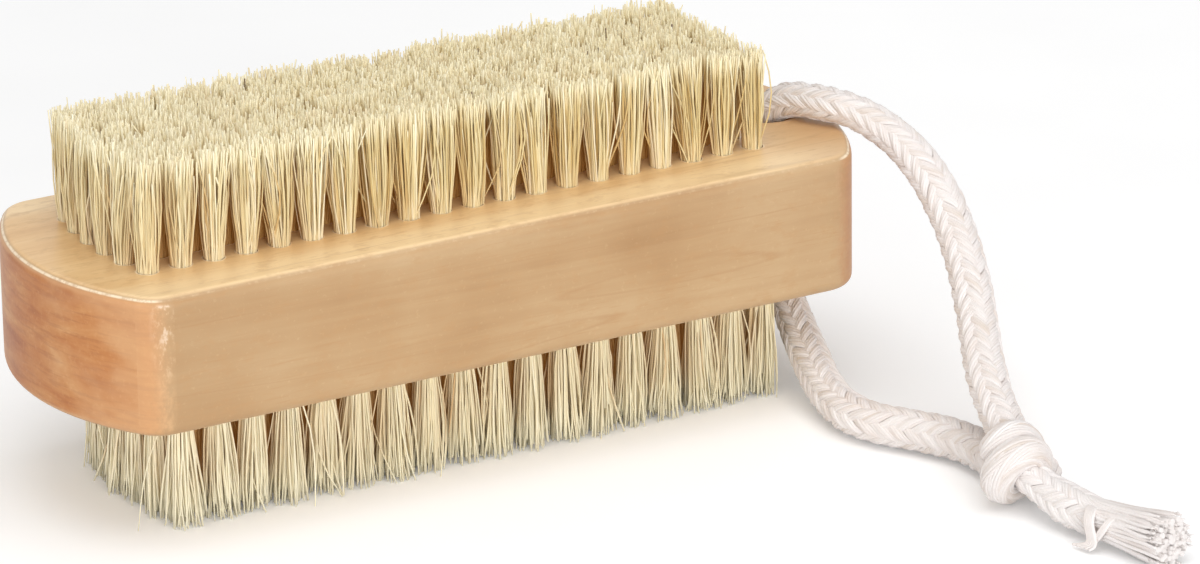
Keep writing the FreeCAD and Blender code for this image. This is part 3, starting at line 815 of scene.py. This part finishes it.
def smooth_line(name, route, step):
    """Evenly spaced points on the route's smooth curve, and how far along it each one is."""
    curve = bpy.data.curves.new(name, "CURVE")
    curve.dimensions = "3D"
    curve.resolution_u = 24
    spline = curve.splines.new("NURBS")
    spline.points.add(len(route) - 1)
    for point, place in zip(spline.points, route):
        point.co = (*place, 1.0)
    spline.order_u = 3
    spline.use_endpoint_u = True
    carrier = add_object(name, curve)
    bpy.context.view_layer.update()
    mesh = bpy.data.meshes.new_from_object(carrier)
    points = np.array([vertex.co[:] for vertex in mesh.vertices])
    bpy.data.objects.remove(carrier)
    bpy.data.curves.remove(curve)
    bpy.data.meshes.remove(mesh)

    runs = np.linalg.norm(np.diff(points, axis=0), axis=1)
    keep = np.concatenate([[True], runs > 1e-9])
    points = points[keep]
    travelled = np.concatenate([[0], np.cumsum(np.linalg.norm(np.diff(points, axis=0), axis=1))])
    count = max(int(round(travelled[-1] / step)) + 1, 4)
    places = np.linspace(0, travelled[-1], count)
    return np.stack([np.interp(places, travelled, points[:, axis]) for axis in range(3)], axis=1), places


def steady_frames(line):
    """Two directions square to the line at each point, turning with it as little as they can."""
    forward = unit(np.gradient(line, axis=0))
    start = np.array([1.0, 0.0, 0.0]) if abs(forward[0, 0]) < 0.8 else np.array([0.0, 1.0, 0.0])
    side = np.empty_like(line)
    side[0] = unit(start - forward[0] * (start @ forward[0]))
    for place in range(1, len(line)):
        carried = side[place - 1] - forward[place] * (side[place - 1] @ forward[place])
        side[place] = unit(carried)
    return side, np.cross(forward, side)


def drift(random, travelled, size):
    """A slow random wander along a line, of about the given size."""
    total = np.zeros_like(travelled)
    for length in DRIFT_LENGTHS:
        total = total + np.sin(travelled * FULL_TURN / length + random.uniform(0, FULL_TURN))
    return size * total / 1.7


def braid_paths(line, travelled, seed, turns=None, radius=BRAID_RADIUS, wave=BRAID_WAVE, tightness=1.0):
    """The yarns of a round braid along a line: their points, outward directions and tones.

    turns says how often a strand has gone round at each point, and radius and wave may change on the way.
    """
    random = np.random.default_rng(seed)
    side, other = steady_frames(line)
    if turns is None:
        turns = travelled / BRAID_LEAD
    slope = math.atan(FULL_TURN * BRAID_RADIUS / BRAID_LEAD)
    yarn_turn = tightness * YARN_SPACING / (BRAID_RADIUS * math.cos(slope))
    swelling = drift(random, travelled, SWELLING)
    paths, outward, tones = [], [], []
    for way in (1, -1):
        for strand in range(STRANDS_EACH_WAY):
            place = strand * FULL_TURN / STRANDS_EACH_WAY + random.normal(0, STRAND_WANDER)
            place = place + drift(random, travelled, STRAND_WANDER)
            strand_tone = random.normal(0.5, 0.1)
            for yarn in range(YARNS_PER_STRAND):
                off_middle = yarn - (YARNS_PER_STRAND - 1) / 2
                turn = way * FULL_TURN * turns + place + off_middle * yarn_turn
                over = np.clip(1.4 * np.cos(4 * turn - math.pi / 4), -1, 1) * way
                # The middle yarns of a strand ride higher than its edges
                away = radius + wave * over + swelling + STRAND_CROWN * (0.5 - off_middle**2)
                away = away + drift(random, travelled, YARN_WANDER)
                radial = side * np.cos(turn)[:, None] + other * np.sin(turn)[:, None]
                paths.append(line + radial * away[:, None])
                outward.append(radial)
                tones.append(strand_tone + random.normal(0, 0.20))
    return np.array(paths), np.array(outward), np.clip(tones, 0, 1)


def yarn_mesh(name, paths, radii, outward, tones, sides=YARN_SIDES):
    """Yarns of one radius, or one for each point, lifted where they would dip into the floor."""
    radii = np.broadcast_to(radii, paths.shape[:2])
    lifted = paths.copy()
    lifted[..., 2] = np.maximum(lifted[..., 2], radii + FLOOR_GAP)
    return tube_mesh(name, lifted, radii, sides, outward, {"tone": tones})


def core_mesh(name, line, radii):
    """A plain round core that fills a braid, with one radius or one for each point of its line."""
    side, _ = steady_frames(line)
    radii = np.full((1, len(line)), radii)
    return tube_mesh(name, line[None], radii, CORE_SIDES, side[None], {"tone": [CORE_TONE]})


def join(name, pieces):
    """One object from several meshes."""
    for item in bpy.context.selected_objects:
        item.select_set(False)
    for piece in pieces:
        piece.select_set(True)
    bpy.context.view_layer.objects.active = pieces[0]
    with bpy.context.temp_override(active_object=pieces[0], selected_editable_objects=pieces):
        bpy.ops.object.join()
    pieces[0].name = name
    pieces[0].data.name = name
    return pieces[0]


def cotton_piece(name, pieces, material):
    """One piece of the cord from its meshes: it moves with the cord and has the cotton's finish."""
    piece = join(name, pieces)
    piece.data.materials.append(material)
    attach(piece, "cord")
    return piece


def braided_cord(name, route, squeeze, material):
    """A stretch of braided cord along a route, with its line's points."""
    line, travelled = smooth_line(name + "_line", route, LEG_STEP)
    radius = BRAID_RADIUS * np.interp(travelled, *squeeze)
    paths, outward, tones = braid_paths(line, travelled, SEEDS[name], radius=radius)
    yarns = yarn_mesh(name, paths, YARN_RADIUS, outward, tones)
    core = core_mesh(name + "_core", line, radius - LEG_CORE_GAP)
    return cotton_piece(name, [yarns, core], material), line


def knot_piece(material):
    """The overhand knot: a loop of the cord that goes about one and a third times round its tail."""
    middle = np.array(KNOT_PLACE)
    axis = unit(np.array(KNOT_AXIS))
    up = unit(np.array([0.0, 0.0, 1.0]) - axis * axis[2])
    right = np.cross(up, axis)
    shares = np.linspace(0, 1, 20)
    turn = np.radians(KNOT_FIRST_ANGLE + KNOT_SWEEP * shares)
    # Both ends of the loop tuck in under it
    tucked = (np.clip(0.16 - shares, 0, 1) + np.clip(shares - 0.86, 0, 1)) / 0.15
    ring = KNOT_RING - KNOT_TUCK * tucked
    advance = KNOT_BACK + KNOT_ADVANCE * shares
    route = middle + ring[:, None] * (np.cos(turn)[:, None] * up + np.sin(turn)[:, None] * right)
    route = route + advance[:, None] * axis
    line, travelled = smooth_line("knot_line", route, FINE_STEP)
    braid = (travelled / KNOT_LEAD, KNOT_RADIUS, KNOT_WAVE, KNOT_TIGHTNESS)
    paths, outward, tones = braid_paths(line, travelled, SEEDS["knot"], *braid)

    # The pull of the knot flattens the loop against the tail
    from_axis = line - middle
    from_axis = unit(from_axis - (from_axis @ axis)[:, None] * axis)
    inward = np.sum((paths - line) * from_axis, axis=-1, keepdims=True)
    paths = paths - KNOT_FLATTENING * inward * from_axis
    yarns = yarn_mesh("knot", paths, YARN_RADIUS, outward, tones)
    core = core_mesh("knot_core", line, KNOT_CORE)
    piece = cotton_piece("knot", [yarns, core], material)
    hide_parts("cord_knot")
    return piece


def trimmed(paths, ends):
    """Each path cut to its own share of its length."""
    shares = np.linspace(0, 1, paths.shape[1])
    cut = np.empty_like(paths)
    for path, end, result in zip(paths, ends, cut):
        for axis in range(3):
            result[:, axis] = np.interp(shares * end, shares, path[:, axis])
    return cut


def packed_yarns(random, line, travelled, radius):
    """Straight yarns that fill the tail's open end."""
    first = np.searchsorted(travelled, PACKED_FROM)
    turn = random.uniform(0, FULL_TURN, PACKED_COUNT)
    share = np.sqrt(random.uniform(0, PACKED_SPREAD, PACKED_COUNT))
    side, other = steady_frames(line)
    outward = side[None] * np.cos(turn)[:, None, None] + other[None] * np.sin(turn)[:, None, None]
    paths = line + outward * (share[:, None] * radius)[:, :, None]
    ends = 1 - random.uniform(0.0, PACKED_RAGGED, PACKED_COUNT)
    paths = trimmed(paths[:, first:], ends)
    outward = trimmed(outward[:, first:], ends)
    tones = random.uniform(0.8, 1.0, PACKED_COUNT)
    return yarn_mesh("tail_inside", paths, PACKED_RADIUS, outward, tones, PACKED_SIDES)


def end_wisps(random, paths, outward):
    """Fine fibres that stand out of the ends of the tail's yarns."""
    source = random.integers(0, len(paths), WISP_COUNT)
    start = paths[source, -3]
    away = unit(paths[source, -1] - paths[source, -6]) + random.normal(0, WISP_SPREAD, (WISP_COUNT, 3))
    reach = random.uniform(*WISP_REACH, WISP_COUNT)
    steps = np.linspace(0, 1, WISP_RINGS)[None, :, None]
    wisps = start[:, None] + unit(away)[:, None] * reach[:, None, None] * steps
    wisps = wisps + random.normal(0, WISP_BEND, (WISP_COUNT, 1, 3)) * steps**2
    radii = np.linspace(*WISP_RADII, WISP_RINGS)
    facing = np.repeat(outward[source, -1][:, None], WISP_RINGS, axis=1)
    tones = random.uniform(0.4, 0.9, WISP_COUNT)
    return yarn_mesh("tail_fibres", wisps, radii, facing, tones, WISP_SIDES)


def loose_strand(line, place, route, count, spread):
    """A few yarns side by side along a route that is given along the tail, up and out from its middle."""
    axis = unit(line[place + 1] - line[place - 1])
    up = unit(np.array([0.0, 0.0, 1.0]) - axis * axis[2])
    left = np.cross(axis, up)
    shares = np.linspace(0, 1, 30)
    paths = []
    for yarn in range(count):
        off_middle = yarn - (count - 1) / 2
        aside = np.full(len(route), 0.27 * off_middle)
        aside[-1] = spread * off_middle
        aside[-2] = 0.6 * spread * off_middle
        points = []
        for (along, high, out), sideways in zip(route, aside):
            points.append(line[place] + MM * ((along + sideways) * axis + high * up + out * left))
        smooth, _ = smooth_line("strand_line", points, FINE_STEP)
        places = np.linspace(0, 1, len(smooth))
        paths.append(np.stack([np.interp(shares, places, smooth[:, part]) for part in range(3)], axis=1))
    paths = np.array(paths)
    radii = YARN_RADIUS * np.interp(shares, [0, 0.8, 1], [1, 1, 0.6])
    outward = np.broadcast_to(left + 0.3 * up, paths.shape)
    return yarn_mesh("loose_strand", paths, radii, outward, np.linspace(0.45, 0.75, count))


def tail_piece(material):
    """The tail: braided as it leaves the knot, then straight loose yarns with a ragged, open end."""
    random = np.random.default_rng(SEEDS["tail_ends"])
    line, travelled = smooth_line("tail_line", TAIL_ROUTE, FINE_STEP)
    run = np.clip(travelled - LOOSE_FROM, 0, None)
    wound = np.minimum(travelled, LOOSE_FROM) + UNWIND_RUN * (1 - np.exp(-run / UNWIND_RUN))
    opened = np.clip(run / (travelled[-1] - LOOSE_FROM), 0, 1)
    radius = BRAID_RADIUS * np.interp(travelled, *TAIL_SQUEEZE) + OPEN_END * opened**OPEN_POWER
    wave = BRAID_WAVE * np.exp(-run / WAVE_RUN)
    turns = wound / BRAID_LEAD
    paths, outward, tones = braid_paths(line, travelled, SEEDS["tail"], turns, radius, wave)

    # Half of the loose yarns fall inward, so that the open end has a thick, uneven wall
    inner = random.uniform(0, FALL_INWARD, len(paths)) * (np.arange(len(paths)) % 2)
    paths = paths - outward * (inner[:, None] * opened)[:, :, None]
    sway = random.normal(0, YARN_SWAY, (len(paths), 3))
    paths = paths + sway[:, None] * (opened**2)[None, :, None]
    ends = 1 - random.uniform(0.0, YARN_RAGGED, len(paths))
    paths = trimmed(paths, ends)
    outward = trimmed(outward, ends)
    radii = YARN_RADIUS * np.interp(np.linspace(0, 1, len(line)), [0, 0.93, 1], [1, 1, 0.45])
    yarns = yarn_mesh("tail", paths, radii, outward, np.clip(tones + TAIL_PALER, 0, 1))

    cored = travelled < TAIL_CORE_FADE[1]
    fade = np.interp(travelled[cored], TAIL_CORE_FADE, [1, 0.4])
    core = core_mesh("tail_core", line[cored], (radius[cored] - TAIL_CORE_GAP) * fade)
    inside = packed_yarns(random, line, travelled, radius)
    fibres = end_wisps(random, paths, outward)

    # Two strands have come out of the braid: one with a spread foot on the floor, one tucked under it
    place = np.searchsorted(travelled, LOOSE_STRANDS_AT)
    strand = loose_strand(line, place, LOOSE_STRAND, count=5, spread=0.62)
    under = loose_strand(line, place, TUCKED_STRAND, count=3, spread=0.25)
    piece = cotton_piece("tail", [yarns, core, inside, fibres, strand, under], material)
    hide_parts("cord_tail", "cord_frayed_end")
    return piece


def short_tail_piece(material):
    """The cord's other end: a short stub beside the knot with its yarns drawn in at the cut."""
    line, travelled = smooth_line("short_tail_line", SHORT_TAIL_ROUTE, SHORT_TAIL_STEP)
    left = travelled[-1] - travelled
    dome = np.sqrt(np.clip(1 - np.clip(1 - left / SHORT_TAIL_DOME, 0, 1) ** 2, 0.06, 1))
    radius = SHORT_TAIL_RADIUS * dome
    wave = BRAID_WAVE * dome
    paths, outward, tones = braid_paths(line, travelled, SEEDS["short_tail"], None, radius, wave)
    yarns = yarn_mesh("short_tail", paths, YARN_RADIUS, outward, tones)
    core = core_mesh("short_tail_core", line, SHORT_TAIL_CORE * dome)
    piece = cotton_piece("short_tail", [yarns, core], material)
    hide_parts("cord_short_tail")
    return piece


def make_camera():
    """The photograph's camera: a long lens, from the front left and above."""
    azimuth = math.radians(CAMERA_AZIMUTH)
    elevation = math.radians(CAMERA_ELEVATION)
    roll = math.radians(CAMERA_ROLL)
    flat = Vector((math.sin(azimuth), -math.cos(azimuth), 0))
    back = flat * math.cos(elevation) + Vector((0, 0, math.sin(elevation)))
    level = Vector((math.cos(azimuth), math.sin(azimuth), 0))
    upright = back.cross(level)
    right = level * math.cos(roll) + upright * math.sin(roll)
    up = upright * math.cos(roll) - level * math.sin(roll)
    middle = Vector((0, 0, (BLOCK_TOP + BLOCK_BOTTOM) / 2))
    to_right, to_up, to_back = CAMERA_PLACE
    place = middle + to_right * right + to_up * up + to_back * back
    data = bpy.data.cameras.new("camera")
    data.sensor_fit = "HORIZONTAL"
    data.sensor_width = CAMERA_SENSOR
    data.lens = CAMERA_LENS
    data.clip_start = 0.01
    camera = add_object("camera", data)
    turn = Matrix((right, up, back)).transposed().to_4x4()
    camera.matrix_world = Matrix.Translation(place) @ turn
    bpy.context.scene.camera = camera


def make_light(name, place, size, power):
    """A soft square lamp that faces the brush."""
    data = bpy.data.lights.new(name, "AREA")
    data.size = size
    data.energy = power
    light = add_object(name, data)
    light.location = place
    light.rotation_euler = (Vector(LAMP_AIM) - Vector(place)).to_track_quat("-Z", "Y").to_euler()


def make_floor():
    """The white floor."""
    mesh = bpy.data.meshes.new("floor")
    corners = [(x * FLOOR_HALF, y * FLOOR_HALF, 0) for x, y in ((-1, -1), (1, -1), (1, 1), (-1, 1))]
    mesh.from_pydata(corners, [], [(0, 1, 2, 3)])
    mesh.materials.append(floor_material())
    floor = add_object("floor", mesh)
    floor.location.z = FLOOR_HEIGHT


def make_surround():
    """An even white surround, dimmer as light than it looks to the camera and in reflections."""
    world = bpy.data.worlds.new("surround")
    bpy.context.scene.world = world
    world.use_nodes = True
    tree = world.node_tree
    shade = tree.nodes["Background"]
    shade.inputs["Color"].default_value = WHITE
    rays = tree.nodes.new("ShaderNodeLightPath")
    strength = tree.nodes.new("ShaderNodeMapRange")
    strength.inputs["To Min"].default_value = SURROUND_LIGHT
    strength.inputs["To Max"].default_value = SURROUND_SEEN
    seen = tree.nodes.new("ShaderNodeMath")
    seen.operation = "MAXIMUM"
    mirrored = tree.nodes.new("ShaderNodeMath")
    mirrored.operation = "MAXIMUM"
    tree.links.new(rays.outputs["Is Glossy Ray"], mirrored.inputs[0])
    tree.links.new(rays.outputs["Is Transmission Ray"], mirrored.inputs[1])
    tree.links.new(rays.outputs["Is Camera Ray"], seen.inputs[0])
    tree.links.new(mirrored.outputs[0], seen.inputs[1])
    tree.links.new(seen.outputs[0], strength.inputs["Value"])
    tree.links.new(strength.outputs[0], shade.inputs["Strength"])


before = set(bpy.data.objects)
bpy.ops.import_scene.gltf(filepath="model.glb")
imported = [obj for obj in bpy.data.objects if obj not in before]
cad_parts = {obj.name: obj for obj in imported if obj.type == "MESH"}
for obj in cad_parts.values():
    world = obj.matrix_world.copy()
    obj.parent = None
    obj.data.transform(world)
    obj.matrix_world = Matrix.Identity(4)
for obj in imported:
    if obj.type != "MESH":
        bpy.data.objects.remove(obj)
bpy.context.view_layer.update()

make_camera()
make_floor()
for lamp in LAMPS:
    make_light(*lamp)
make_surround()
bpy.context.scene.view_settings.view_transform = "Standard"

wood_finish = wood_material()
bristle_finish = bristle_material()
cotton_finish = cotton_material()
steel_finish = steel_material()
for node_name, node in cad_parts.items():
    if node_name == "handle_block":
        node.data.materials.clear()
        node.data.materials.append(wood_finish)
    elif "anchors" in node_name:
        node.data.materials.clear()
        node.data.materials.append(steel_finish)

upper_cord, upper_line = braided_cord("upper_cord", UPPER_ROUTE, UPPER_SQUEEZE, cotton_finish)
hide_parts("cord_upper_leg", "cord_bore_run")
lower_cord, lower_line = braided_cord("lower_cord", LOWER_ROUTE, LOWER_SQUEEZE, cotton_finish)
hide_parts("cord_lower_leg")
knot = knot_piece(cotton_finish)
tail = tail_piece(cotton_finish)
short_tail = short_tail_piece(cotton_finish)

for row_number in range(ROW_COUNT):
    bristle_row(row_number, "upper", bristle_finish)
    bristle_row(row_number, "lower", bristle_finish)
